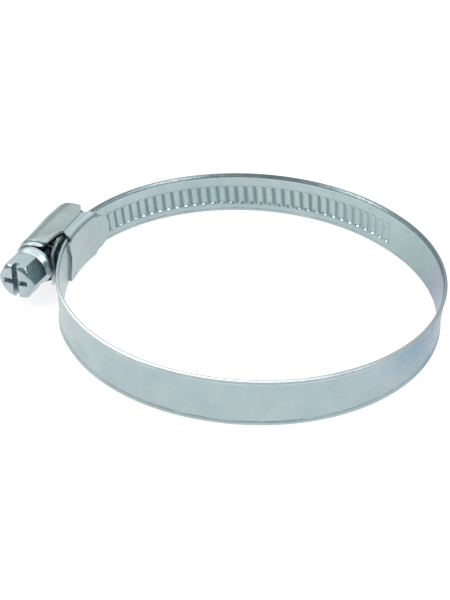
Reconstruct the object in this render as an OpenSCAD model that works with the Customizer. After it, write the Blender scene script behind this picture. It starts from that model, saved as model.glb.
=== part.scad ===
// Worm-drive hose clamp, fully open.
// Origin: centre of the hose bore, at half the band's width. +Z runs along the hose.
// The housing stands on the -X side and the screw's head points towards -Y.
// Azimuths are measured from +X, counter-clockwise seen from above.

/* [Band] */
// Diameter of the hose that the open clamp just slides over
hose_d = 70; // [68:1:73]
// Width of the band, along the hose
band_w = 9; // [8:0.5:9]
// Thickness of the band's sheet
band_t = 0.6; // [0.5:0.05:0.6]
// Width of the flared strip along each edge of the band
lip_w = 0.8; // [0.4:0.1:1.2]
// How far the flared edges stand out from the hose
lip_rise = 0.3; // [0.1:0.05:0.35]
// Number of pieces that stand for the plain part of the band
plain_pieces = 9; // [9]
// Number of pieces that stand for the threaded part of the band
threaded_pieces = 7; // [7]
// Joint gap between neighbouring band pieces, at the middle of the sheet
joint_gap = 0.08; // [0.08:0.01:0.12]

/* [Thread] */
// Distance from one rib to the next, and the worm's pitch
pitch = 2.08; // [2.02:0.01:2.12]
// Ribs pressed into each threaded piece
ribs_per_piece = 6; // [6]
// Width of a rib, around the ring
rib_w = 1.15; // [0.8:0.05:1.3]
// Length of a rib, along the hose
rib_l = 4.6; // [3.6:0.1:5]
// How far a rib is pressed out of the sheet
rib_h = 0.25; // [0.1:0.05:0.25]
// Crest radius of the worm
worm_r = 2.9; // [2.7:0.05:2.9]
// Depth of the worm's thread
thread_h = 0.55; // [0.4:0.05:0.6]
// Radial clearance between the worm's crest and the ribs
thread_gap = 0.15; // [0.15:0.05:0.3]

/* [Saddle and housing] */
// Thickness of the saddle plate under the band
saddle_t = 0.5; // [0.4:0.05:0.5]
// Radial gap between the two overlapping layers of band
lap_gap = 0.35; // [0.35:0.05:0.5]
// Thickness of the housing's sheet
shell_t = 0.6; // [0.5:0.05:0.7]
// Side clearance between the band and the housing's walls
side_gap = 0.15; // [0.15:0.05:0.3]
// Length of the housing behind the tangent point, away from the head
housing_back = 5.8; // [5.4:0.1:6.2]
// Length of the housing's side walls in front of the tangent point
housing_front = 7; // [6.6:0.1:7.4]
// Length of the housing's crown in front of the tangent point
crown_front = 9.6; // [9.4:0.1:9.8]

/* [Screw] */
// Width across the flats of the screw's hexagon
hex_af = 6.8; // [6:0.1:7]
// Length of the hexagon
hex_l = 6; // [5:0.1:6.5]
// Radius of the flange behind the hexagon
flange_r = 4.3; // [4:0.1:4.3]
// Thickness of the flange
flange_t = 1; // [0.8:0.1:1.2]
// Radius of the two journals that the screw turns on
journal_r = 1.9; // [1.6:0.1:2]
// Radial running clearance of the journals
journal_gap = 0.06; // [0.03:0.01:0.1]
// Width of the driving slot across the head
slot_w = 1.2; // [0.8:0.1:1.4]
// Depth of the driving slot
slot_d = 1.8; // [1:0.1:2.5]
// Length of the cross recess's short arms, tip to tip
cross_l = 5; // [3:0.1:5.5]

/* [Hidden] */
$fn = 96;
eps = 0.05;
zinc_band = [0.66, 0.72, 0.74];
zinc_shell = [0.70, 0.73, 0.71];
zinc_screw = [0.60, 0.68, 0.72];

// Ring: the plain part of the band lies on the hose
ring_r = hose_d / 2;
half_t = band_t / 2;
mid_r = ring_r + half_t;
half_w = band_w / 2;
// The plain part starts just past the housing and runs round to the first rib
plain_start = 198;
plain_end = 415;
plain_step = (plain_end - plain_start) / plain_pieces;

// Layers under the worm, counted outwards from the hose
seat_gap = 0.05;
end_mid_r = ring_r + saddle_t + seat_gap + half_t;
thread_mid_x = end_mid_r + half_t + lap_gap + half_t;
axis_x = thread_mid_x + half_t + rib_h + thread_gap + worm_r;

// The threaded part lies on a circle moved towards the housing, so that it climbs over the band's end
thread_span = plain_end - 360 - 180;
thread_offset = (thread_mid_x - mid_r) / (1 - cos(thread_span));
thread_r = thread_mid_x - thread_offset;
thread_start = atan2(mid_r * sin(plain_end), mid_r * cos(plain_end) + thread_offset);
rib_step = pitch / thread_r * 180 / PI;
thread_step = rib_step * ribs_per_piece;
lead_angle = atan(pitch / (2 * PI * (worm_r - thread_h / 2)));

// Saddle, measured from the tangent point towards the head
saddle_back = -8.4;
saddle_front = 6.6;
saddle_corner = 2.6;
wing_back = -4.6;
wing_front = 4.9;

// Band end: seated part on the saddle, then a straight run down to the hose
end_from = 171;
jog_from = 191;
jog_to = 196.4;
jog_overlap = 0.1;

// Housing, in its own frame: x away from the hose, y towards the head
wall_in = half_w + side_gap;
wall_out = wall_in + shell_t;
saddle_half_h = wall_out + 0.05;
wall_foot = ring_r + saddle_t + 0.05;
arch_x = axis_x;
cheek_t = 0.7;
cheek_foot = axis_x - 2.45;
front_cheek_y = 8.7;
back_cheek_y = -housing_back + 0.3;
corner_cut = 2.2;

// Screw, along the housing frame's y
worm_from = back_cheek_y + cheek_t + 0.1;
worm_to = front_cheek_y - 0.1;
worm_sides = 24;
worm_slices = 90;
flange_y = crown_front + 1;
head_y = flange_y + flange_t + hex_l;
tip_y = back_cheek_y - 0.6;
hex_r = hex_af / 2 / cos(30);
chamfer = 0.5;
thread_crest = 0.6;
thread_root = 1.15;

// Cross section of the band: flat in the middle, flared along both edges
module band_section(r) {
    flat = half_w - lip_w;
    polygon([
        [r - half_t, -flat], [r - half_t + lip_rise, -half_w], [r + half_t + lip_rise, -half_w],
        [r + half_t, -flat], [r + half_t, flat], [r + half_t + lip_rise, half_w],
        [r - half_t + lip_rise, half_w], [r - half_t, flat]
    ]);
}

// Band bent to radius r about the z axis, from azimuth a to azimuth b
module band_arc(r, a, b) {
    rotate([0, 0, a])
        rotate_extrude(angle = b - a, $fn = 180)
            band_section(r);
}

// One rigid piece of the plain band, number n counted from the housing
module plain_piece(n) {
    trim = joint_gap / 2 / mid_r * 180 / PI;
    from = plain_start + (n - 1) * plain_step;
    color(zinc_band)
        band_arc(mid_r, from + trim, from + plain_step - trim);
}

// Slanted block that forms a rib or its hollow, on radius r and h thick
module rib_block(r, h, w, l) {
    translate([r, 0, 0])
        rotate([-lead_angle, 0, 0])
            translate([h / 2, 0, 0])
                cube([h, w, l], center = true);
}

// One rigid piece of the threaded band, number n counted from the plain band
module threaded_piece(n) {
    trim = joint_gap / 2 / thread_r * 180 / PI;
    from = thread_start + (n - 1) * thread_step;
    wall = 0.35;
    color(zinc_band)
        translate([-thread_offset, 0, 0])
            difference() {
                union() {
                    band_arc(thread_r, from + trim, from + thread_step - trim);
                    for (i = [0 : ribs_per_piece - 1])
                        rotate([0, 0, from + (i + 0.5) * rib_step])
                            rib_block(thread_r + half_t - eps, rib_h + eps, rib_w, rib_l);
                }
                for (i = [0 : ribs_per_piece - 1])
                    rotate([0, 0, from + (i + 0.5) * rib_step])
                        rib_block(thread_r - half_t - eps, rib_h + eps, rib_w - wall, rib_l - wall);
            }
}

// The end of the band that the housing holds
module band_end() {
    trim = joint_gap / 2 / mid_r * 180 / PI;
    color(zinc_band) {
        band_arc(end_mid_r, end_from, jog_from);
        band_run(at_azimuth(end_mid_r, jog_from), at_azimuth(mid_r, jog_to), jog_overlap);
        band_arc(mid_r, jog_to, plain_start - trim);
    }
}

// Point on the radius r at azimuth a
function at_azimuth(r, a) = [r * cos(a), r * sin(a)];

// Straight stretch of band from point p to point q, longer by extra at both ends
module band_run(p, q, extra) {
    translate(p)
        rotate([0, 0, atan2(q[1] - p[1], q[0] - p[0]) - 90])
            rotate([-90, 0, 0])
                translate([0, 0, -extra])
                    linear_extrude(height = norm(q - p) + 2 * extra)
                        band_section(0);
}

// Curved plate between the hose and the band, with wings that carry the housing
module saddle() {
    color(zinc_shell)
        at_housing()
            intersection() {
                difference() {
                    cylinder(r = ring_r + saddle_t, h = 2 * saddle_half_h, center = true);
                    cylinder(r = ring_r, h = 2 * saddle_half_h + 1, center = true);
                }
                rotate([90, 0, 90])
                    linear_extrude(height = ring_r + saddle_t + 1)
                        saddle_outline();
            }
}

// Outline of the saddle seen from the hose's axis, with y towards the head drawn to the right
module saddle_outline() {
    rounded_plate(saddle_back, saddle_front, band_w, saddle_corner);
    translate([wing_back, -saddle_half_h])
        square([wing_front - wing_back, 2 * saddle_half_h]);
}

// Rectangle from x = a to x = b, h high, with corners of radius r
module rounded_plate(a, b, h, r) {
    translate([a + r, -h / 2])
        square([b - a - 2 * r, h]);
    translate([a, r - h / 2])
        square([b - a, h - 2 * r]);
    for (x = [a + r, b - r])
        for (y = [r - h / 2, h / 2 - r])
            translate([x, y])
                circle(r = r);
}

// Puts the housing's own frame in place: x away from the hose, y towards the head
module at_housing() {
    rotate([0, 0, 180])
        children();
}

// Solid D shape between the side walls, from y = a to y = b
module shell_form(half, foot, a, b) {
    translate([0, b, 0])
        rotate([90, 0, 0])
            linear_extrude(height = b - a) {
                translate([arch_x, 0])
                    circle(r = half);
                translate([foot, -half])
                    square([arch_x - foot, 2 * half]);
            }
}

// Cross wall that carries a journal of the screw
module cheek(y) {
    intersection() {
        shell_form(wall_in + eps, cheek_foot, y, y + cheek_t);
        translate([cheek_foot, y - 1, -wall_in - 1])
            cube([2 * wall_out, cheek_t + 2, 2 * wall_in + 2]);
    }
}

// Stamped sheet cover over the worm
module housing() {
    color(zinc_shell)
        at_housing()
            difference() {
                union() {
                    difference() {
                        shell_form(wall_out, wall_foot, -housing_back, crown_front);
                        shell_form(wall_in, wall_foot - 1, -housing_back - 1, crown_front + 1);
                    }
                    cheek(front_cheek_y);
                    cheek(back_cheek_y);
                }
                // the side walls end before the crown does
                translate([wall_foot - 1, housing_front, -wall_out - 1])
                    cube([arch_x - wall_foot - 0.5, crown_front, 2 * wall_out + 2]);
                // the lower back corners are cut away for the band
                translate([wall_foot - 1, -housing_back - 1, -wall_out - 1])
                    cube([corner_cut + 1.6, 2.2, 2 * wall_out + 2]);
                screw_bore();
            }
}

// Hole that both journals turn in
module screw_bore() {
    translate([axis_x, -housing_back - 1, 0])
        rotate([-90, 0, 0])
            cylinder(r = journal_r + journal_gap, h = housing_back + crown_front + 2);
}

// Radius of the worm at angle a from the middle of its crest, in any cut across the axis
function worm_radius(a) =
    let (x = abs(a) / 360 * pitch, slope = (thread_root - thread_crest) / 2)
    worm_r - thread_h * min(max((x - thread_crest / 2) / slope, 0), 1);

// Worm with its right-handed thread, from z = a to z = b
module worm(a, b) {
    translate([0, 0, a])
        linear_extrude(height = b - a, twist = -360 * (b - a) / pitch, slices = worm_slices, $fn = worm_sides)
            polygon([for (i = [0 : worm_sides - 1])
                let (turn = 360 * (i / worm_sides - 0.5))
                worm_radius(turn) * [cos(turn), sin(turn)]]);
}

// Worm screw in one piece: tip, worm, journal, flange and hexagon
module screw() {
    color(zinc_screw)
        at_housing()
            translate([axis_x, 0, 0])
                rotate([-90, 0, 0])
                    difference() {
                        union() {
                            translate([0, 0, tip_y])
                                cylinder(r = journal_r, h = flange_y - tip_y + eps);
                            worm(worm_from, worm_to);
                            translate([0, 0, flange_y])
                                cylinder(r = flange_r, h = flange_t);
                            hexagon();
                        }
                        recess();
                    }
}

// Hexagon with its outer corners turned off to a cone
module hexagon() {
    foot = flange_y + flange_t - eps;
    intersection() {
        translate([0, 0, foot])
            cylinder(r = hex_r, h = hex_l + eps, $fn = 6);
        union() {
            translate([0, 0, foot])
                cylinder(r = hex_r + 1, h = hex_l - chamfer + eps);
            translate([0, 0, head_y - chamfer])
                cylinder(r1 = hex_r, r2 = hex_af / 2 - chamfer / 2, h = chamfer);
        }
    }
}

// Driving slot right across the head, and the short arms of the cross recess
module recess() {
    translate([-slot_w / 2, -hex_r - 1, head_y - slot_d])
        cube([slot_w, 2 * hex_r + 2, slot_d + 1]);
    translate([-cross_l / 2, -slot_w / 2, head_y - slot_d])
        cube([cross_l, slot_w, slot_d + 1]);
}

housing();
saddle();
screw();
band_end();
plain_piece(1);  // plain_band_1
plain_piece(2);  // plain_band_2
plain_piece(3);  // plain_band_3
plain_piece(4);  // plain_band_4
plain_piece(5);  // plain_band_5
plain_piece(6);  // plain_band_6
plain_piece(7);  // plain_band_7
plain_piece(8);  // plain_band_8
plain_piece(9);  // plain_band_9
threaded_piece(1);  // threaded_band_1
threaded_piece(2);  // threaded_band_2
threaded_piece(3);  // threaded_band_3
threaded_piece(4);  // threaded_band_4
threaded_piece(5);  // threaded_band_5
threaded_piece(6);  // threaded_band_6
threaded_piece(7);  // threaded_band_7
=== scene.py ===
import math

import bmesh
import bpy
import numpy as np
from mathutils import Matrix, Vector


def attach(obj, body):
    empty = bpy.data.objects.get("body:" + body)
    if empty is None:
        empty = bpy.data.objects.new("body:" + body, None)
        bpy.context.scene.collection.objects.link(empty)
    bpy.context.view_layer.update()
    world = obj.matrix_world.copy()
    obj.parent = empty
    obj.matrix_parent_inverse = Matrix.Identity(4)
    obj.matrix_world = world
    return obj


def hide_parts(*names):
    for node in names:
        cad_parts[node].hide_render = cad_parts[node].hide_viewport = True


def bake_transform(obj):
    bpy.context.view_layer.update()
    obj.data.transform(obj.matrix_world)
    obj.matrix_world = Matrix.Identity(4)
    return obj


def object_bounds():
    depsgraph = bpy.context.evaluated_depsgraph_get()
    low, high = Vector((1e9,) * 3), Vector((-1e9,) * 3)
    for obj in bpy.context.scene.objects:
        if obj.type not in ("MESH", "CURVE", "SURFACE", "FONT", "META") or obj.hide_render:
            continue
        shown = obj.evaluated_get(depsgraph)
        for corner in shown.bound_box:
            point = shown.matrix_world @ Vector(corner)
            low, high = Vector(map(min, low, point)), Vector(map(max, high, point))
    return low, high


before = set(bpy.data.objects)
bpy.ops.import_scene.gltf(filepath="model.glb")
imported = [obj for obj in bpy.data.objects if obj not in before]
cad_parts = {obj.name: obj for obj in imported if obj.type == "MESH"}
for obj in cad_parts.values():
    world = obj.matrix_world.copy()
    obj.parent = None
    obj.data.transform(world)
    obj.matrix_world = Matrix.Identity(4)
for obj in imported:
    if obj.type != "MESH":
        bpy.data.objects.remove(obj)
cad_lo, cad_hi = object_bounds()

# ---------------------------------------------------------------------------------------------
# Sizes, in millimetres
# ---------------------------------------------------------------------------------------------

MM = 0.001

# As in the CAD part
BORE_R = 35.0
SHEET = 0.6  # thickness of the strip
HALF_W = 4.5  # half the strip's width
SADDLE_SHEET = 0.5
SEAT_GAP = 0.05  # between the saddle and the strip's held end
LAP_GAP = 0.35  # between the held end and the ribbed end over it
PITCH = 2.08
RIB_CLEAR = 0.25 + 0.15  # height of the CAD's ribs, and their gap to the worm
WORM_R = 2.9
PLAIN_PIECES, THREADED_PIECES, RIBS_PER_PIECE = 9, 7, 6
BAND_FROM, HINGE_FROM, RING_END = 171.0, 198.0, 415.0  # degrees round the ring

# As in the photo
LEAD = math.tan(math.radians(7.2))  # slant of the ribs
RIB_L, RIB_W, RIB_H = 4.7, 1.30, 0.32
RIB_Z = -0.40  # the ribs sit a little low on the strip
RIB_ROUND, RIB_SIDE, RIB_END = 0.16, 0.42, 0.55  # reach past the slot, and width of its slopes
TAIL = 0.6  # plain strip after the last rib
LIP_RISE, LIP_W = 0.3, 0.75  # outward crease along both edges of the strip
WALL_OUT = 5.2  # outer face of the cover's side at its foot
WALL_T = 0.6
FOOT = 36.85  # lowest point of the cover
BACK_T = -5.7  # back of the cover
HEX_AF = 6.8
HEAD_T = 17.6  # end of the screw's head

# Worked out
RIBS = THREADED_PIECES * RIBS_PER_PIECE
MID_R = BORE_R + SHEET / 2
SEAT_MID = BORE_R + SADDLE_SHEET + SEAT_GAP + SHEET / 2
THREAD_X = SEAT_MID + SHEET + LAP_GAP
OFFSET = (THREAD_X - MID_R) / (1 - math.cos(math.radians(540.0 - RING_END)))
THREAD_R = THREAD_X - OFFSET
AXIS_N = THREAD_X + SHEET / 2 + RIB_CLEAR + WORM_R

UV_MM = 10.0  # millimetres in one UV unit of the strip
CUT_U = 50.0  # added to the UV of the strip's cut face, so that its material can find it


def at_housing(t, n, z):
    """A point of the housing's own frame: t towards the head, n away from the hose."""
    return (-n, -t, z)


# ---------------------------------------------------------------------------------------------
# Camera
# ---------------------------------------------------------------------------------------------


def make_camera(target, turn, elevation, roll, distance, lens):
    """A camera that looks at a target, turned about Z, raised, and rolled about its own axis."""
    a, e, r = math.radians(turn), math.radians(elevation), math.radians(roll)
    right = Vector((math.cos(a), math.sin(a), 0))
    forward = Vector((-math.sin(a) * math.cos(e), math.cos(a) * math.cos(e), -math.sin(e)))
    up = right.cross(forward)
    x = right * math.cos(r) + up * math.sin(r)
    y = -right * math.sin(r) + up * math.cos(r)
    place = Vector(target) * MM - forward * distance * MM
    data = bpy.data.cameras.new("camera")
    data.sensor_width = 36.0
    data.lens = lens
    data.clip_start = 0.005
    data.clip_end = 20.0
    camera = bpy.data.objects.new("camera", data)
    m = Matrix.Identity(4)
    for row in range(3):
        m[row][0], m[row][1], m[row][2], m[row][3] = x[row], y[row], -forward[row], place[row]
    camera.matrix_world = m
    bpy.context.scene.collection.objects.link(camera)
    bpy.context.scene.camera = camera


make_camera((-2.353, -7.774, 0.0), turn=20.0, elevation=33.83, roll=1.75, distance=178.3, lens=58.476)

# ---------------------------------------------------------------------------------------------
# Mesh helpers
# ---------------------------------------------------------------------------------------------


def new_object(name, verts, faces, uv=None, sharp=35.0):
    """Mesh object from millimetre points, smooth but for edges sharper than an angle."""
    mesh = bpy.data.meshes.new(name)
    mesh.from_pydata([tuple(c * MM for c in v) for v in verts], [], faces)
    mesh.validate()
    if uv is not None:
        layer = mesh.uv_layers.new(name="UVMap")
        corners = np.empty(len(mesh.loops), int)
        mesh.loops.foreach_get("vertex_index", corners)
        layer.data.foreach_set("uv", np.asarray(uv, float)[corners].ravel())
    obj = bpy.data.objects.new(name, mesh)
    bpy.context.scene.collection.objects.link(obj)
    finish_shading(obj, sharp)
    return obj


def finish_shading(obj, sharp):
    """Outward normals and smooth faces, with the edges above an angle marked sharp."""
    bm = bmesh.new()
    bm.from_mesh(obj.data)
    bmesh.ops.recalc_face_normals(bm, faces=bm.faces)
    limit = math.radians(sharp)
    for face in bm.faces:
        face.smooth = True
    for edge in bm.edges:
        edge.smooth = not (len(edge.link_faces) == 2 and edge.calc_face_angle(0) > limit)
    bm.to_mesh(obj.data)
    bm.free()


def loft(rings, capped=True):
    """Points and faces of a skin over closed rings of equal length."""
    count, size = len(rings), len(rings[0])
    verts = [p for ring in rings for p in ring]
    faces = []
    for k in range(count - 1):
        for i in range(size):
            j = (i + 1) % size
            faces.append((k * size + i, k * size + j, (k + 1) * size + j, (k + 1) * size + i))
    if capped:
        faces.append(tuple(reversed(range(size))))
        faces.append(tuple((count - 1) * size + i for i in range(size)))
    return verts, faces


def bevel(obj, width, segments=2, angle=40.0):
    """Rounds the edges sharper than an angle."""
    mod = obj.modifiers.new("bevel", "BEVEL")
    mod.width = width * MM
    mod.segments = segments
    mod.limit_method = "ANGLE"
    mod.angle_limit = math.radians(angle)
    apply_modifiers(obj)


def apply_modifiers(obj):
    """Puts the evaluated mesh in the place of the object's own."""
    bpy.context.view_layer.update()
    graph = bpy.context.evaluated_depsgraph_get()
    mesh = bpy.data.meshes.new_from_object(obj.evaluated_get(graph))
    old = obj.data
    obj.modifiers.clear()
    obj.data = mesh
    mesh.name = obj.name
    bpy.data.meshes.remove(old)


def smooth(x):
    """Soft step from 0 at x = 0 to 1 at x = 1."""
    x = np.clip(x, 0.0, 1.0)
    return x * x * (3 - 2 * x)


def through(points, x):
    """Value at x of the straight lines through (x, value) points."""
    places, values = zip(*points)
    return np.interp(x, places, values)


# ---------------------------------------------------------------------------------------------
# Materials
# ---------------------------------------------------------------------------------------------


class Nodes:
    """Short hand for building a node tree."""

    def __init__(self, tree):
        self.tree = tree
        self.tree.nodes.clear()
        self.coords = self.add("ShaderNodeTexCoord").outputs

    def add(self, kind, inputs=None, **settings):
        node = self.tree.nodes.new(kind)
        for key, value in settings.items():
            setattr(node, key, value)
        for key, value in (inputs or {}).items():
            node.inputs[key].default_value = value
        return node

    def link(self, a, b):
        self.tree.links.new(a, b)

    def feed(self, socket, value):
        """Links a socket to a value, or sets it to a number or a colour."""
        if isinstance(value, (int, float)):
            socket.default_value = value
        elif isinstance(value, tuple):
            socket.default_value = (*value, 1.0)
        else:
            self.link(value, socket)

    def axes(self, vector):
        node = self.add("ShaderNodeSeparateXYZ")
        self.link(vector, node.inputs[0])
        return node.outputs

    def noise(self, vector, scale, detail=3.0, roughness=0.5, distortion=0.0):
        inputs = {"Scale": scale, "Detail": detail, "Roughness": roughness, "Distortion": distortion}
        node = self.add("ShaderNodeTexNoise", inputs)
        self.link(vector, node.inputs["Vector"])
        return node.outputs["Fac"]

    def stretch(self, vector, scale):
        node = self.add("ShaderNodeMapping", {"Scale": scale})
        self.link(vector, node.inputs["Vector"])
        return node.outputs["Vector"]

    def ramp(self, value, stops):
        node = self.add("ShaderNodeValToRGB")
        elements = node.color_ramp.elements
        while len(elements) < len(stops):
            elements.new(0.5)
        for element, (place, colour) in zip(elements, stops):
            element.position = place
            element.color = (*colour, 1.0)
        self.link(value, node.inputs["Fac"])
        return node.outputs["Color"]

    def span(self, value, low, high, to_low, to_high):
        """Maps low..high to to_low..to_high, and holds the ends."""
        inputs = {"From Min": low, "From Max": high, "To Min": to_low, "To Max": to_high}
        node = self.add("ShaderNodeMapRange", inputs)
        self.link(value, node.inputs["Value"])
        return node.outputs["Result"]

    def maths(self, operation, a, b=0.0):
        node = self.add("ShaderNodeMath", operation=operation)
        self.feed(node.inputs[0], a)
        self.feed(node.inputs[1], b)
        return node.outputs[0]

    def product(self, first, *others):
        for other in others:
            first = self.maths("MULTIPLY", first, other)
        return first

    def away(self, value, centre):
        """Distance of a value from a centre."""
        return self.maths("ABSOLUTE", self.maths("SUBTRACT", value, centre))

    def near(self, value, centre, full, none, strength=1.0):
        """The strength up to a distance full from a centre, fading to 0 at none."""
        return self.span(self.away(value, centre), full, none, strength, 0.0)

    def mix(self, factor, a, b, blend="MIX"):
        node = self.add("ShaderNodeMix", data_type="RGBA", blend_type=blend)
        for index, value in ((0, factor), (6, a), (7, b)):
            self.feed(node.inputs[index], value)
        return node.outputs[2]

    def bump(self, height, strength, distance):
        node = self.add("ShaderNodeBump", {"Strength": strength, "Distance": distance})
        self.link(height, node.inputs["Height"])
        return node.outputs["Normal"]


class Finish(Nodes):
    """A material with one Principled shader, whose colour is painted in layers."""

    def __init__(self, name):
        self.material = bpy.data.materials.new(name)
        self.material.use_nodes = True
        super().__init__(self.material.node_tree)
        self.shader = self.add("ShaderNodeBsdfPrincipled")
        self.link(self.shader.outputs[0], self.add("ShaderNodeOutputMaterial").inputs[0])
        self.colour = None

    def base(self, colour):
        self.colour = colour
        self.link(colour, self.shader.inputs["Base Color"])

    def paint(self, factor, colour, blend="MIX"):
        """Lays a colour over what is there, as strongly as the factor says."""
        self.base(self.mix(factor, self.colour, colour, blend))


def zinc(name, cool, warm, dark, rough=(0.24, 0.36), uv=False, grain=1.0):
    """Bright zinc plating: faint clouds, fine rolling lines, speckle, hair lines and soft gloss.

    Noise scales are per metre: 60 gives clouds of about 15 mm, and 2600 specks of 0.4 mm.
    """
    n = Finish(name)
    coords = n.coords["UV" if uv else "Object"]
    metre = UV_MM * MM if uv else 1.0
    place = n.stretch(coords, (metre, metre, metre))
    rolled = n.stretch(coords, (0.06, 9.0, 1.0) if uv else (60.0, 9.0, 60.0))

    cloud = n.noise(place, 260.0, 3.0, 0.5, 0.4)
    n.base(n.mix(n.span(cloud, 0.30, 0.70, 0.0, 1.0), cool, warm))
    broad = n.noise(place, 60.0, 2.0, 0.5, 0.3)
    n.paint(n.span(broad, 0.40, 0.70, 0.0, 0.30), dark)
    lines = n.noise(rolled, 26.0, 3.0, 0.6)
    n.paint(n.span(lines, 0.45, 0.75, 0.0, 0.14 * grain), dark)
    speck = n.noise(place, 2600.0, 2.0, 0.7)
    n.paint(n.span(speck, 0.58, 0.74, 0.0, 0.30 * grain), dark)
    vein = n.noise(n.stretch(place, (0.7, 1.0, 1.0)), 330.0, 4.0, 0.65, 1.6)
    patches = n.span(n.noise(place, 85.0, 2.0, 0.5), 0.50, 0.66, 0.0, 0.38 * grain)
    n.paint(n.product(n.near(vein, 0.5, 0.004, 0.014), patches), dark)

    n.shader.inputs["Metallic"].default_value = 1.0
    gloss = n.noise(place, 420.0, 3.0, 0.6)
    n.link(n.span(gloss, 0.3, 0.7, *rough), n.shader.inputs["Roughness"])
    height = n.maths("ADD", n.product(lines, 0.35), n.noise(place, 900.0, 3.0, 0.6))
    n.link(n.bump(height, 0.12 * grain, 0.00025), n.shader.inputs["Normal"])
    return n


def paint_rib_shade(n, s, z):
    """Painted shade on the ridges between the ribs, fading in over the first nine."""
    slant = n.product(z, LEAD)
    u = n.maths("DIVIDE", n.maths("SUBTRACT", n.maths("SUBTRACT", s, S_THREAD), slant), PITCH)
    ridge = n.span(n.away(n.maths("FRACT", u), 0.5), 0.31, 0.40, 0.0, 1.0)
    high = n.near(z, RIB_Z, 1.9, 2.4)
    fade = n.span(u, 0.2, 9.0, 0.10, 1.0)
    before = n.span(u, 0.0, 0.3, 0.0, 0.80)
    after = n.span(u, RIBS - 0.3, RIBS + 0.1, 1.0, 0.0)
    # painted shade: the ridges between the ribs are darkened as if in shadow
    n.paint(n.product(ridge, high, fade, after, before), (0.10, 0.19, 0.21))


def paint_crease_shade_and_highlight(n, z):
    """Painted shade as a broken dark line along the lower crease, and a painted highlight as a light
    line below the upper crease.
    """
    # noise that breaks up the painted shade and painted highlight lines along the creases
    crease_breakup = n.noise(n.coords["Object"], 350.0, 3.0, 0.6)
    low = n.product(n.near(z, -3.74, 0.02, 0.07), n.span(crease_breakup, 0.36, 0.54, 0.0, 0.92))
    # painted shade in the lower crease
    n.paint(low, (0.04, 0.06, 0.07))
    top = n.product(n.near(z, 3.62, 0.04, 0.16), n.span(crease_breakup, 0.35, 0.6, 0.15, 0.5))
    # painted highlight below the upper crease
    n.paint(top, (0.62, 0.70, 0.70))


def paint_tint(n, along, z):
    """The plating's play of pink and green, between 60 and 180 mm along the strip."""
    wander = n.maths("SUBTRACT", n.noise(n.coords["Object"], 60.0, 2.0, 0.5), 0.5)
    bent = n.maths("ADD", n.maths("ADD", along, n.product(wander, 1.6)), n.product(z, 0.10))
    stops = [
        (0.00, (1.0, 1.0, 1.0)),
        (0.22, (0.98, 0.99, 1.0)),
        (0.32, (0.97, 0.95, 1.0)),
        (0.38, (0.60, 0.72, 0.83)),
        (0.45, (0.55, 0.57, 0.76)),
        (0.51, (0.58, 0.70, 0.74)),
        (0.58, (0.66, 0.60, 0.76)),
        (0.66, (0.80, 0.90, 0.86)),
        (0.74, (0.95, 0.98, 0.96)),
        (1.00, (1.0, 1.0, 1.0)),
    ]
    n.paint(1.0, n.ramp(n.span(bent, 60.0 / UV_MM, 180.0 / UV_MM, 0.0, 1.0), stops), "MULTIPLY")


def paint_rim_highlight_and_shade(n, s, z):
    """The strip's upper edge, painted with light: a white painted highlight at the front with a thin
    painted shade line beside it, then grey, then dark painted shade along the back.
    """
    rim = n.span(z, 4.28, 4.35, 0.0, 0.88)
    # painted shade along the back rim: grey, then dark
    n.paint(n.product(rim, n.span(s, 80.0, 98.0, 0.0, 1.0)), (0.33, 0.36, 0.34))
    n.paint(n.product(rim, n.span(s, 118.0, 142.0, 0.0, 1.0)), (0.13, 0.18, 0.20))
    front = n.product(n.span(s, 24.0, 36.0, 0.0, 1.0), n.span(s, 74.0, 88.0, 1.0, 0.0))
    # painted highlight along the front rim
    n.paint(n.product(n.span(z, 4.30, 4.36, 0.0, 0.85), front), (0.95, 0.98, 1.0))
    # thin painted shade line beside the front highlight
    n.paint(n.product(n.span(z, 4.455, 4.475, 0.0, 0.85), front), (0.16, 0.21, 0.23))


def band_zinc():
    """The strip's plating with painted shade and painted highlights, painted by millimetres along it
    (s) and millimetres of height (z).
    """
    cool, warm, dark = (0.39, 0.49, 0.52), (0.46, 0.53, 0.53), (0.25, 0.34, 0.37)
    n = zinc("band_zinc", cool, warm, dark, uv=True, grain=1.5)
    along = n.axes(n.coords["UV"])[0]
    s = n.product(along, UV_MM)
    z = n.product(n.axes(n.coords["Object"])[2], 1 / MM)
    paint_rib_shade(n, s, z)
    paint_crease_shade_and_highlight(n, z)
    paint_tint(n, along, z)
    paint_rim_highlight_and_shade(n, s, z)
    # painted highlight on the tail's cut face, where the cover's shade falls
    n.paint(n.span(along, CUT_U - 20.0, CUT_U - 5.0, 0.0, 0.85), (0.92, 0.96, 0.97))
    return n.material


def housing_zinc():
    """The cover's plating, with painted shade in the groove at its neck, a painted highlight on the
    bead beside it, and painted shade all over the inside.
    """
    cool, warm, dark = (0.37, 0.44, 0.43), (0.43, 0.47, 0.45), (0.26, 0.32, 0.32)
    n = zinc("housing_zinc", cool, warm, dark, rough=(0.26, 0.40))
    x, y, z = n.axes(n.coords["Object"])
    t = n.product(y, -1 / MM)
    # painted shade in the groove at the neck
    n.paint(n.near(t, 9.24, 0.10, 0.24, 0.85), (0.10, 0.14, 0.16))
    # painted highlight on the bead
    n.paint(n.near(t, 9.85, 0.30, 0.45, 0.80), (0.62, 0.70, 0.73))
    above_axis = n.maths("MINIMUM", n.maths("ADD", n.product(x, 1 / MM), AXIS_N), 0.0)
    squares = [n.maths("POWER", v, 2.0) for v in (above_axis, n.product(z, 1 / MM))]
    radius = n.maths("SQRT", n.maths("ADD", *squares))
    sheet_middle = n.maths("ADD", n.span(t, -1.0, 8.9, 4.9, 4.23), n.span(t, 9.1, 11.0, 0.0, -0.68))
    inside = n.span(n.maths("SUBTRACT", radius, sheet_middle), -0.05, 0.05, 1.0, 0.0)
    # painted shade on the inside of the cover
    n.paint(inside, (0.05, 0.065, 0.07))
    return n.material


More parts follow.
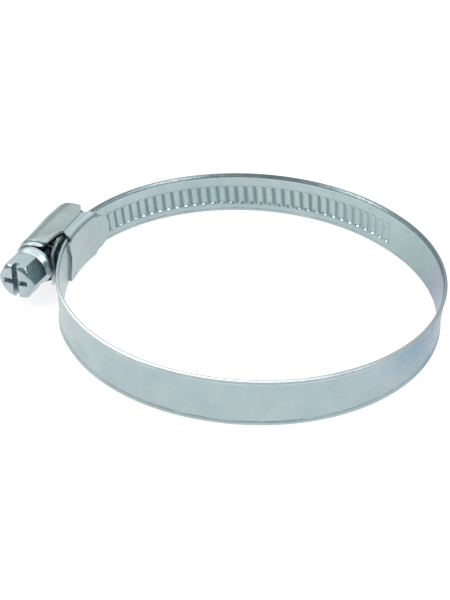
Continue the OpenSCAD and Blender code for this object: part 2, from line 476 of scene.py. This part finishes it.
def saddle_zinc():
    """The plating of the saddle and its bent-up edges."""
    cool, warm, dark = (0.40, 0.49, 0.51), (0.46, 0.51, 0.51), (0.28, 0.36, 0.38)
    return zinc("saddle_zinc", cool, warm, dark, rough=(0.26, 0.38)).material


def screw_zinc():
    """The screw's plating, with a painted highlight round the hexagon's shoulder."""
    cool, warm, dark = (0.38, 0.47, 0.51), (0.46, 0.53, 0.54), (0.25, 0.33, 0.36)
    n = zinc("screw_zinc", cool, warm, dark, rough=(0.21, 0.31))
    t = n.product(n.axes(n.coords["Object"])[1], -1 / MM)
    # painted highlight round the hexagon's shoulder
    n.paint(n.near(t, 12.05, 0.40, 0.80, 0.55), (0.68, 0.76, 0.78))
    return n.material


# ---------------------------------------------------------------------------------------------
# Band: its middle line, by arc length s
# ---------------------------------------------------------------------------------------------

AZ_STEP = 0.02  # degrees between points of the line round the plain ring
S_STEP = 0.02  # millimetres between points of the line along the ribbed end
SPARE = 1.0  # line past the strip's free end

# How far the strip stands outside the true circle, as (degrees round the ring, distance)
STAND_OFF = (
    (171, 0.52),
    (191, 0.50),
    (197, 0.36),
    (204, 0.22),
    (212, 0.44),
    (219, 0.60),
    (230, 0.48),
    (240, 0.48),
    (250, 0.40),
    (260, 0.31),
    (270, 0.16),
    (281, 0.04),
    (292, 0.0),
)


def stand_off(az):
    """The stand-off at angles AZ_STEP apart, smoothed over 7.2 degrees."""
    margin = AZ_STEP * np.arange(1, 181)
    wide = through(STAND_OFF, np.concatenate([az[0] - margin[::-1], az, az[-1] + margin]))
    kernel = np.hanning(2 * len(margin) + 1)
    return np.convolve(wide, kernel / kernel.sum(), "valid")


def heading(x, y, s):
    """Direction of the line at each of its points."""
    return np.unwrap(np.arctan2(np.gradient(y, s), np.gradient(x, s)))


def centre_line():
    """Points of the line, and the lengths at its first hinge, its first rib and the free end."""
    az = np.radians(np.append(np.arange(BAND_FROM, RING_END, AZ_STEP), RING_END))
    r = MID_R + stand_off(np.degrees(az))
    x, y = r * np.cos(az), r * np.sin(az)
    first = np.concatenate([[0], np.cumsum(np.hypot(np.diff(x), np.diff(y)))])
    hinge = float(np.interp(math.radians(HINGE_FROM), az, first))

    start = math.atan2(y[-1], x[-1] + OFFSET)
    length = RIBS * PITCH + TAIL + SPARE
    steps = round(length / S_STEP)
    turn = start + np.arange(1, steps + 1) * (length / steps) / THREAD_R
    second = first[-1] + (turn - start) * THREAD_R

    x = np.concatenate([x, THREAD_R * np.cos(turn) - OFFSET])
    y = np.concatenate([y, THREAD_R * np.sin(turn)])
    s = np.concatenate([first, second])
    points = np.column_stack([s, x, y, heading(x, y, s)])
    return points, hinge, float(first[-1]), float(second[-1]) - SPARE


LINE, S_HINGE, S_THREAD, S_END = centre_line()
PLAIN_STEP = (S_THREAD - S_HINGE) / PLAIN_PIECES
THREAD_STEP = RIBS_PER_PIECE * PITCH


def ease_kink(at, reach):
    """Rounds the small change of heading where the ribbed end leaves the plain ring."""
    s, x, y, head = LINE.T
    a, b = at - reach, at + reach
    inside = (s > a) & (s < b)
    pa = np.array([np.interp(a, s, x), np.interp(a, s, y)])
    pb = np.array([np.interp(b, s, x), np.interp(b, s, y)])
    ha, hb = np.interp(a, s, head), np.interp(b, s, head)
    ta = np.array([math.cos(ha), math.sin(ha)]) * 2 * reach
    tb = np.array([math.cos(hb), math.sin(hb)]) * 2 * reach
    u = ((s[inside] - a) / (b - a))[:, None]
    from_a = (2 * u**3 - 3 * u**2 + 1) * pa + (u**3 - 2 * u**2 + u) * ta
    to_b = (3 * u**2 - 2 * u**3) * pb + (u**3 - u**2) * tb
    LINE[inside, 1:3] = from_a + to_b
    LINE[:, 3] = heading(x, y, s)


def flare_tail(reach, rise):
    """Bends the strip's free end a little away from the hose."""
    s, x, y, head = LINE.T
    up = rise * smooth((s - S_END + reach) / reach)
    LINE[:, 1] += np.sin(head) * up
    LINE[:, 2] -= np.cos(head) * up
    LINE[:, 3] = heading(x, y, s)


ease_kink(at=S_THREAD, reach=5.0)
flare_tail(reach=4.8, rise=1.5)


def line_at(s):
    """Point of the line, and the direction away from the hose there."""
    x, y, h = (np.interp(s, LINE[:, 0], LINE[:, k]) for k in (1, 2, 3))
    return x, y, math.sin(h), -math.cos(h)


# ---------------------------------------------------------------------------------------------
# Band: its section and its pieces
# ---------------------------------------------------------------------------------------------

# Heights of the points on each face, closest together at the ends of the ribs
FACE_Z = [0, 0.3, 0.6, 0.9, 1.2, 1.5, 1.7, 1.85, 2.0, 2.15, 2.3, 2.45, 2.6, 2.8]
FACE_Z += [3.2, 3.6, 3.70, 3.80, 3.95, 4.30]
FACE_Z = [-z for z in reversed(FACE_Z[1:])] + FACE_Z
# The rounded edge from the inner face to the outer one, as (n, z) from the strip's middle
RIM = [(-0.27, 4.44), (-0.22, 4.49), (0.22, 4.39), (0.27, 4.34)]
# Cut of the free end as (z, length past its nominal place): slanted back towards the top
TAIL_CUT = ((-4.5, 0.3), (-3.8, 0.8), (-2.5, 0.7), (-0.8, 0.0), (1.3, 0.3), (2.0, 0.0), (4.5, -2.5))


def rib_height(s, z):
    """How far the sheet is pressed out at this place: slanted slots with round ends."""
    u = (s - S_THREAD - z * LEAD) / PITCH
    if u < 0 or u > RIBS:
        return 0.0
    across = (u - math.floor(u) - 0.5) * PITCH
    along = max(abs(z - RIB_Z) - (RIB_L - RIB_W) / 2, 0.0)
    edge = math.hypot(across, along) - RIB_W / 2
    side_slope = smooth((RIB_ROUND - edge) / RIB_SIDE)
    end_slope = smooth((RIB_L / 2 - abs(z - RIB_Z)) / RIB_END)
    return RIB_H * float(side_slope * end_slope)


def lip(z):
    """How far the strip's edge is creased outwards at this height."""
    return LIP_RISE * max(0.0, (abs(z) - (HALF_W - LIP_W)) / LIP_W)


def section():
    """Closed outline across the strip as (n, z): inner face, top rim, outer face, bottom rim."""
    pts = [(-SHEET / 2 + lip(z), z) for z in FACE_Z]
    pts += [(n + lip(z), z) for n, z in RIM]
    pts += [(SHEET / 2 + lip(z), z) for z in reversed(FACE_Z)]
    pts += [(n + lip(z), -z) for n, z in reversed(RIM)]
    return pts


SECTION = section()
AROUND = np.concatenate([[0], np.cumsum([math.dist(a, b) for a, b in zip(SECTION, SECTION[1:])])])
BAND = band_zinc()
CUT_STEP = 0.03  # from the last ring of the strip to the ring of its cut face
HELD_PAST = 0.6  # the held end's piece stops this far before the first hinge
PLAIN_RINGS, RIBBED_RINGS = 0.4, 0.13  # millimetres between rings


def band_piece(name, s0, s1, step, tail=False):
    """A length of strip; the tail is cut by TAIL_CUT, and one more ring marks its cut face."""
    rings, uv = [], []
    places = list(np.linspace(s0, s1, max(2, round((s1 - s0) / step)) + 1))
    if tail:
        places.append(s1 + CUT_STEP)
    for place in places:
        s = place
        x, y, nx, ny = line_at(s)
        ring = []
        for (n, z), v in zip(SECTION, AROUND):
            if tail:
                end = S_END + through(TAIL_CUT, z)
                s = s0 + (end - s0) * (place - s0) / (s1 - s0)
                x, y, nx, ny = line_at(s)
            n += rib_height(s, z)
            ring.append((x + nx * n, y + ny * n, z))
            uv.append((s / UV_MM + (CUT_U if place > s1 else 0.0), v / UV_MM))
        rings.append(ring)
    verts, faces = loft(rings)
    obj = new_object(name, verts, faces, uv, sharp=50.0)
    obj.data.materials.append(BAND)
    return obj


def make_band():
    """Pieces that meet half-way between the hinges; the held end is attached to the root and the tail
    to the last ribbed body, and the pieces between are baked in place.
    """
    bodies = ["root"]
    bodies += [f"plain_band_{i + 1}" for i in range(PLAIN_PIECES)]
    bodies += [f"threaded_band_{i + 1}" for i in range(THREADED_PIECES)]
    meets = [S_HINGE - HELD_PAST]
    meets += [S_HINGE + (i + 0.5) * PLAIN_STEP for i in range(PLAIN_PIECES)]
    meets += [S_THREAD + (i + 0.5) * THREAD_STEP for i in range(THREADED_PIECES)]
    end = band_piece("band_end_strip", 0.0, meets[0], PLAIN_RINGS)
    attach(end, "root")
    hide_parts("band_end")
    for k in range(PLAIN_PIECES + THREADED_PIECES):
        step = PLAIN_RINGS if k < PLAIN_PIECES else RIBBED_RINGS
        piece = band_piece(f"band_strip_{k + 1}", meets[k], meets[k + 1], step)
        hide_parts(bodies[k + 1])
        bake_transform(piece)
    tail = band_piece("band_tail", meets[-1], S_END, RIBBED_RINGS, tail=True)
    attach(tail, "threaded_band_7")


make_band()

# ---------------------------------------------------------------------------------------------
# Saddle
# ---------------------------------------------------------------------------------------------

SADDLE = saddle_zinc()
SADDLE_BACK, SADDLE_FRONT = -8.3, 6.6
SADDLE_CORNER = 3.2
SADDLE_HALF, SADDLE_WIDER = 3.6, 0.4  # half width at the back, and what it gains under the housing
WIDER_FROM, WIDER_IN = -5.1, 1.2
WAVY_FROM, WAVY_IN = 2.6, 4.0  # where the plate starts to follow its wavy edge
# The wavy front edge, as (z, t)
SADDLE_EDGE = ((-4.2, 7.8), (-3.0, 7.7), (-1.5, 6.95), (0.8, 6.65), (3.0, 7.2), (4.2, 7.5))
# Shallow creases, as (from, to, half width, depth) with their ends as (t, z)
CREASES = (
    ((-3.1, 3.3), (-2.0, 1.7), 0.40, 0.16),
    ((-2.6, 0.2), (1.2, 0.5), 0.35, 0.12),
    ((4.6, 3.2), (5.4, -3.4), 0.8, 0.10),
)
WING_BACK, WING_FRONT = -4.1, 6.1
WING_SHEET = 0.45
WING_LOW = 1.1  # height of its ends above the bore's circle
WING_TOP, WING_FALL = 37.12, 0.06  # height n at t = 0, and fall for each millimetre forwards
WING_BEND_Z, WING_BEND_R = 3.95, 1.2  # centre of the bend at its foot, and its outer radius


def saddle_half(t):
    """Half width of the saddle's flat part, round at its back corners."""
    half = SADDLE_HALF + SADDLE_WIDER * float(smooth((t - WIDER_FROM) / WIDER_IN))
    r, into = SADDLE_CORNER, t - SADDLE_BACK
    if into < r:
        half = min(half, SADDLE_HALF - r + math.sqrt(max(r * r - (r - into) ** 2, 0.0)))
    return max(half, 0.5)


def crease(t, z, a, b, wide):
    """1 on the line from a to b, fading to 0 beside it."""
    dt, dz = b[0] - a[0], b[1] - a[1]
    u = min(max(((t - a[0]) * dt + (z - a[1]) * dz) / (dt * dt + dz * dz), 0.0), 1.0)
    return math.exp(-(((t - a[0] - u * dt) ** 2 + (z - a[1] - u * dz) ** 2) / wide**2))


def make_saddle():
    """Curved plate on the bore's circle, with the creases pressed into its inner face."""
    rings = []
    corner = SADDLE_BACK + SADDLE_CORNER * np.linspace(0, 1, 16) ** 1.7
    straight = np.linspace(WIDER_FROM + 0.15, SADDLE_FRONT, 64)
    for nominal in np.concatenate([corner, straight]):
        half = saddle_half(nominal)
        stretch = float(smooth((nominal - WAVY_FROM) / WAVY_IN))
        inner = [(z, BORE_R, 1.0) for z in np.linspace(-half, half, 45)]
        outer = [(z, BORE_R + SADDLE_SHEET, 0.0) for z in np.linspace(half, -half, 45)]
        ring = []
        for z, r, pressed in inner + outer:
            t = nominal + stretch * (through(SADDLE_EDGE, z) - SADDLE_FRONT)
            r += pressed * sum(depth * crease(t, z, a, b, wide) for a, b, wide, depth in CREASES)
            ring.append(at_housing(t, math.sqrt(r * r - t * t), z))
        rings.append(ring)
    verts, faces = loft(rings)
    plate = new_object("saddle_plate", verts, faces)
    bevel(plate, 0.10)
    plate.data.materials.append(SADDLE)
    for side, sign in (("bottom", -1), ("top", 1)):
        make_wing(f"saddle_wing_{side}", sign)
    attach(plate, "root")
    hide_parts("saddle")


def make_wing(name, sign):
    """Edge of the saddle bent up beside the strip, with the cover's side standing on it."""
    bend = [math.radians(a) for a in np.linspace(0, 90, 9)]
    outer, inner = WING_BEND_R, WING_BEND_R - WING_SHEET
    out_z, in_z, root_z = WING_BEND_Z + outer, WING_BEND_Z + inner, WING_BEND_Z - 0.1
    rings = []
    for t in np.linspace(WING_BACK, WING_FRONT, 61):
        base = math.sqrt(BORE_R**2 - t * t)
        low, high = base + WING_LOW, WING_TOP - WING_FALL * t
        rise = smooth((t - WING_BACK + 0.2) / 1.3) * smooth((WING_FRONT + 0.2 - t) / 1.4)
        top = low + (high - low) * float(rise)
        centre = base + outer
        path = [(base, root_z)]
        path += [(centre - outer * math.cos(a), WING_BEND_Z + outer * math.sin(a)) for a in bend]
        path += [(top - 0.08, out_z), (top, out_z - 0.07), (top, in_z + 0.06), (top - 0.06, in_z)]
        path += [(centre - inner * math.cos(a), WING_BEND_Z + inner * math.sin(a)) for a in bend[::-1]]
        path += [(base + WING_SHEET, root_z)]
        rings.append([at_housing(t, n, sign * z) for n, z in path])
    verts, faces = loft(rings)
    wing = new_object(name, verts, faces)
    wing.data.materials.append(SADDLE)
    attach(wing, "root")


make_saddle()

# ---------------------------------------------------------------------------------------------
# Housing
# ---------------------------------------------------------------------------------------------

HOUSING = housing_zinc()
# Outer radius of the crown, as (t, radius): it narrows towards the head to a groove and a bead
CROWN = (
    (-1.0, WALL_OUT),
    (8.8, 4.57),
    (9.0, 4.50),
    (9.24, 4.24),
    (9.5, 4.33),
    (9.75, 4.36),
    (10.0, 4.34),
    (10.2, 4.26),
    (10.35, 4.16),
    (10.45, 4.05),
)
# Front edge, as (height n, t): it runs back down the side from the bead
FRONT_EDGE = (
    (FOOT, 4.85),
    (37.6, 5.6),
    (38.1, 7.2),
    (38.3, 8.2),
    (38.5, 9.5),
    (38.8, 10.1),
    (39.4, 10.4),
    (40.4, 10.45),
)
# Lower edge of the sides, as (t, height n): it is cut away towards the back
FOOT_EDGE = ((-5.8, 38.9), (-5.0, 38.4), (-3.0, 37.35), (2.0, 37.05), (4.8, FOOT))
SIDE_ROUND_FROM, SIDE_ROUND_IN = 6.8, 2.4  # where the straight sides turn into a round neck
CROSS_WALLS = (("housing_wall_front", 8.0), ("housing_wall_back", -5.3))
CROSS_WALL_T = 0.6
CROSS_WALL_LAP = 0.02  # into the cover
CROSS_WALL_FOOT = 2.45  # below the screw's axis
JOURNAL_HOLE_R = 1.96


def cover_path():
    """Outline across the worm as (height n, angle): a side wall, the crown, the other wall."""
    wall = list(np.linspace(FOOT, AXIS_N, 9)[:-1])
    path = [(n, -90.0) for n in wall]
    path += [(AXIS_N, angle) for angle in np.linspace(-90, 90, 41)]
    path += [(n, 90.0) for n in reversed(wall)]
    return path


def cover_point(t, height, angle, inset):
    """Point of the cover: round in the crown, nearly straight down the sides."""
    r = through(CROWN, t)
    if abs(angle) < 90.0:
        w = math.radians(angle)
        return at_housing(t, AXIS_N + (r - inset) * math.cos(w), (r - inset) * math.sin(w))
    up = (height - FOOT) / (AXIS_N - FOOT)
    foot = through(FOOT_EDGE, t)
    n = foot + up * (AXIS_N - foot)
    straight = WALL_OUT + (r - WALL_OUT) * up
    round_side = math.sqrt(max(r * r - (AXIS_N - n) ** 2, 1.0))
    rounding = float(smooth((t - SIDE_ROUND_FROM) / SIDE_ROUND_IN))
    z = straight + (min(round_side, straight) - straight) * rounding
    return at_housing(t, n, math.copysign(z - inset, angle))


def make_housing():
    """The cover, and the two walls across it that carry the screw."""
    path = [(n, angle, 0.0) for n, angle in cover_path()]
    path += [(n, angle, WALL_T) for n, angle in reversed(cover_path())]
    rings = []
    for v in np.linspace(0, 1, 91):
        ring = []
        for height, angle, inset in path:
            t = BACK_T + v * (through(FRONT_EDGE, height) - BACK_T)
            ring.append(cover_point(t, height, angle, inset))
        rings.append(ring)
    verts, faces = loft(rings)
    cover = new_object("housing_cover", verts, faces)
    bevel(cover, 0.16, 3)
    cover.data.materials.append(HOUSING)
    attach(cover, "root")
    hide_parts("housing")
    for name, t in CROSS_WALLS:
        wall = cross_wall(name, t)
        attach(wall, "root")


def cross_wall(name, t):
    """Wall across the cover with a round hole for the screw's journal and a flat foot."""
    outer, inner = [], []
    r = through(CROWN, t) - WALL_T + CROSS_WALL_LAP
    for w in np.radians(np.linspace(0, 360, 72, endpoint=False)):
        n, z = math.cos(w), math.sin(w)
        reach = r if n > -0.5 else min(r, CROSS_WALL_FOOT / -n)
        outer.append((AXIS_N + reach * n, reach * z))
        inner.append((AXIS_N + JOURNAL_HOLE_R * n, JOURNAL_HOLE_R * z))
    rings = []
    far = t + CROSS_WALL_T
    for place, path in ((t, inner), (t, outer), (far, outer), (far, inner), (t, inner)):
        rings.append([at_housing(place, n, z) for n, z in path])
    verts, faces = loft(rings, capped=False)
    wall = new_object(name, verts, faces)
    wall.data.materials.append(HOUSING)
    return wall


make_housing()

# ---------------------------------------------------------------------------------------------
# Screw
# ---------------------------------------------------------------------------------------------

SCREW = screw_zinc()
JOURNAL_R = 1.85
NECK_R = 3.34  # between the shoulder and the hexagon
# Journal, flange and soft shoulder, as (t, radius)
SHOULDER = (
    (8.4, JOURNAL_R),
    (10.47, JOURNAL_R),
    (10.49, 3.3),
    (10.52, 3.75),
    (10.62, 3.90),
    (10.8, 3.94),
    (11.15, 3.93),
    (11.4, 3.87),
    (11.62, 3.76),
    (11.8, 3.64),
    (11.95, 3.53),
    (12.1, 3.44),
    (12.24, 3.38),
)
HEX_FROM, HEX_GROWN = 12.36, 0.7  # t where the hexagon starts, and its length up to full size
HEX_FULL, HEX_L = 13.1, 3.1  # t and length of its full part
HEX_CORNER = HEX_AF / 2 / math.cos(math.radians(30))
CONE_L, CONE_DROP, CONE_POWER = 1.3, 1.05, 2.4  # rounded-off end of the hexagon
WORM_ROOT, WORM_THREAD = 2.32, 0.56
CREST_HALF, CREST_SLOPE = 0.62, 0.36  # half width of the thread at its foot, width of its slope
WORM_FROM, WORM_TO = -4.6, 6.3
THREAD_RUN_OUT = 0.5
BACK_JOURNAL, FRONT_JOURNAL = (-6.0, -4.75), 8.6


def hex_radius(a):
    """Radius of the hexagon, with a corner in the direction away from the hose."""
    return HEX_AF / 2 / math.cos(math.radians(math.degrees(a) % 60 - 30))


def turned(t, radius, steps):
    """Ring about the screw's axis; the radius is a number or a function of the angle."""
    ring = []
    for k in range(steps):
        a = 2 * math.pi * k / steps
        r = radius(a) if callable(radius) else radius
        ring.append(at_housing(t, AXIS_N + r * math.cos(a), r * math.sin(a)))
    return ring


def make_screw():
    """Flange, shoulder and hexagon head with its recess; the worm is a piece of its own."""
    profile = list(SHOULDER)
    for u in np.linspace(0, 1, 9):
        grown = 1 - (1 - u) ** 2
        t = HEX_FROM + HEX_GROWN * u
        profile.append((t, lambda a, g=grown: NECK_R + (hex_radius(a) - NECK_R) * g))
    profile += [(HEX_FULL + HEX_L * k / 8, hex_radius) for k in range(1, 8)]
    for u in np.linspace(0, 1, 12):
        cone = HEX_CORNER + 0.05 - CONE_DROP * u**CONE_POWER
        profile.append((HEAD_T - CONE_L * (1 - u), lambda a, c=cone: min(hex_radius(a), c)))
    verts, faces = loft([turned(t, radius, 144) for t, radius in profile])
    head = new_object("screw_head", verts, faces, sharp=28.0)
    for cutter in recess_cutters():
        mod = head.modifiers.new("recess", "BOOLEAN")
        mod.object = cutter
        mod.solver = "EXACT"
        apply_modifiers(head)
        bpy.data.objects.remove(cutter)
    bevel(head, 0.10, 2, 34.0)
    finish_shading(head, 30.0)
    head.data.materials.clear()
    head.data.materials.append(SCREW)
    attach(head, "screw")
    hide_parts("screw")
    worm = make_worm()
    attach(worm, "screw")


def recess_cutters():
    """Slot right across the head, and the tapered short arms of the cross recess."""
    cutters = []
    for half_n, half_z, depth, taper_z in ((0.6, 4.6, 1.5, False), (2.45, 0.55, 1.6, True)):
        verts = []
        for t, taper in ((HEAD_T - depth, 0.8), (HEAD_T + 0.5, 1.08)):
            n, z = half_n * taper, half_z * (taper if taper_z else 1.0)
            for i, j in ((-1, -1), (1, -1), (1, 1), (-1, 1)):
                verts.append(at_housing(t, AXIS_N + i * n, j * z))
        faces = [(0, 1, 2, 3), (7, 6, 5, 4), (0, 4, 5, 1), (1, 5, 6, 2), (2, 6, 7, 3), (3, 7, 4, 0)]
        cutters.append(new_object("recess_cutter", verts, faces))
    return cutters


def thread_radius(t):
    """The worm's radius at t as a function of the angle: a thread with rounded crests."""
    ends = float(smooth((t - WORM_FROM) / THREAD_RUN_OUT) * smooth((WORM_TO - t) / THREAD_RUN_OUT))

    def radius(a):
        u = (t / PITCH + a / (2 * math.pi)) % 1.0
        from_crest = abs(u - 0.5) * PITCH
        return WORM_ROOT + WORM_THREAD * float(smooth((CREST_HALF - from_crest) / CREST_SLOPE)) * ends

    return radius


def make_worm():
    """Right-handed worm between its two journals."""
    steps = 48
    rings = [turned(t, JOURNAL_R, steps) for t in BACK_JOURNAL]
    rings += [turned(t, thread_radius(t), steps) for t in np.linspace(WORM_FROM, WORM_TO, 150)]
    rings.append(turned(FRONT_JOURNAL, JOURNAL_R, steps))
    verts, faces = loft(rings)
    worm = new_object("screw_worm", verts, faces, sharp=60.0)
    worm.data.materials.append(SCREW)
    return worm


make_screw()

# ---------------------------------------------------------------------------------------------
# Studio
# ---------------------------------------------------------------------------------------------


def make_floor():
    """Pale paper just under the part, faintly self-lit so that it reads as white."""
    size, z = 3.0, cad_lo.z - 0.0002
    corners = [(-size, -size, z), (size, -size, z), (size, size, z), (-size, size, z)]
    mesh = bpy.data.meshes.new("floor")
    mesh.from_pydata(corners, [], [(0, 1, 2, 3)])
    floor = bpy.data.objects.new("floor", mesh)
    bpy.context.scene.collection.objects.link(floor)
    n = Finish("floor_white")
    paper = n.noise(n.coords["Object"], 300.0, 3.0, 0.6)
    n.base(n.mix(paper, (0.24, 0.24, 0.24), (0.26, 0.26, 0.26)))
    n.shader.inputs["Roughness"].default_value = 0.9
    n.shader.inputs["Emission Color"].default_value = (1.0, 1.0, 1.0, 1.0)
    n.shader.inputs["Emission Strength"].default_value = 0.80
    mesh.materials.append(n.material)


def soft_box(name, place, side, power):
    """Square area light aimed at the middle of the part."""
    data = bpy.data.lights.new(name, "AREA")
    data.shape = "RECTANGLE"
    data.size = side
    data.size_y = side
    data.energy = power
    light = bpy.data.objects.new(name, data)
    light.location = place
    light.rotation_euler = (-Vector(place)).to_track_quat("-Z", "Y").to_euler()
    bpy.context.scene.collection.objects.link(light)


def make_world():
    """A studio room: dim around the horizon and behind the camera, bright overhead."""
    world = bpy.data.worlds.new("studio")
    bpy.context.scene.world = world
    world.use_nodes = True
    n = Nodes(world.node_tree)
    shade = n.add("ShaderNodeBackground")
    _, y, z = n.axes(n.coords["Generated"])
    stops = [
        (0.0, (0.24, 0.29, 0.31)),
        (0.22, (0.32, 0.38, 0.40)),
        (0.60, (0.92, 0.95, 0.96)),
        (1.0, (1.0, 1.0, 1.0)),
    ]
    n.link(n.ramp(z, stops), shade.inputs["Color"])
    n.link(n.span(y, -0.7, -0.1, 0.50, 1.45), shade.inputs["Strength"])
    n.link(shade.outputs[0], n.add("ShaderNodeOutputWorld").inputs[0])


make_floor()
make_world()
soft_box("box_left", (-0.54, -0.40, 0.45), side=0.34, power=2.2)
soft_box("box_right", (0.60, -0.16, 0.51), side=0.34, power=2.2)
bpy.context.scene.view_settings.view_transform = "Standard"
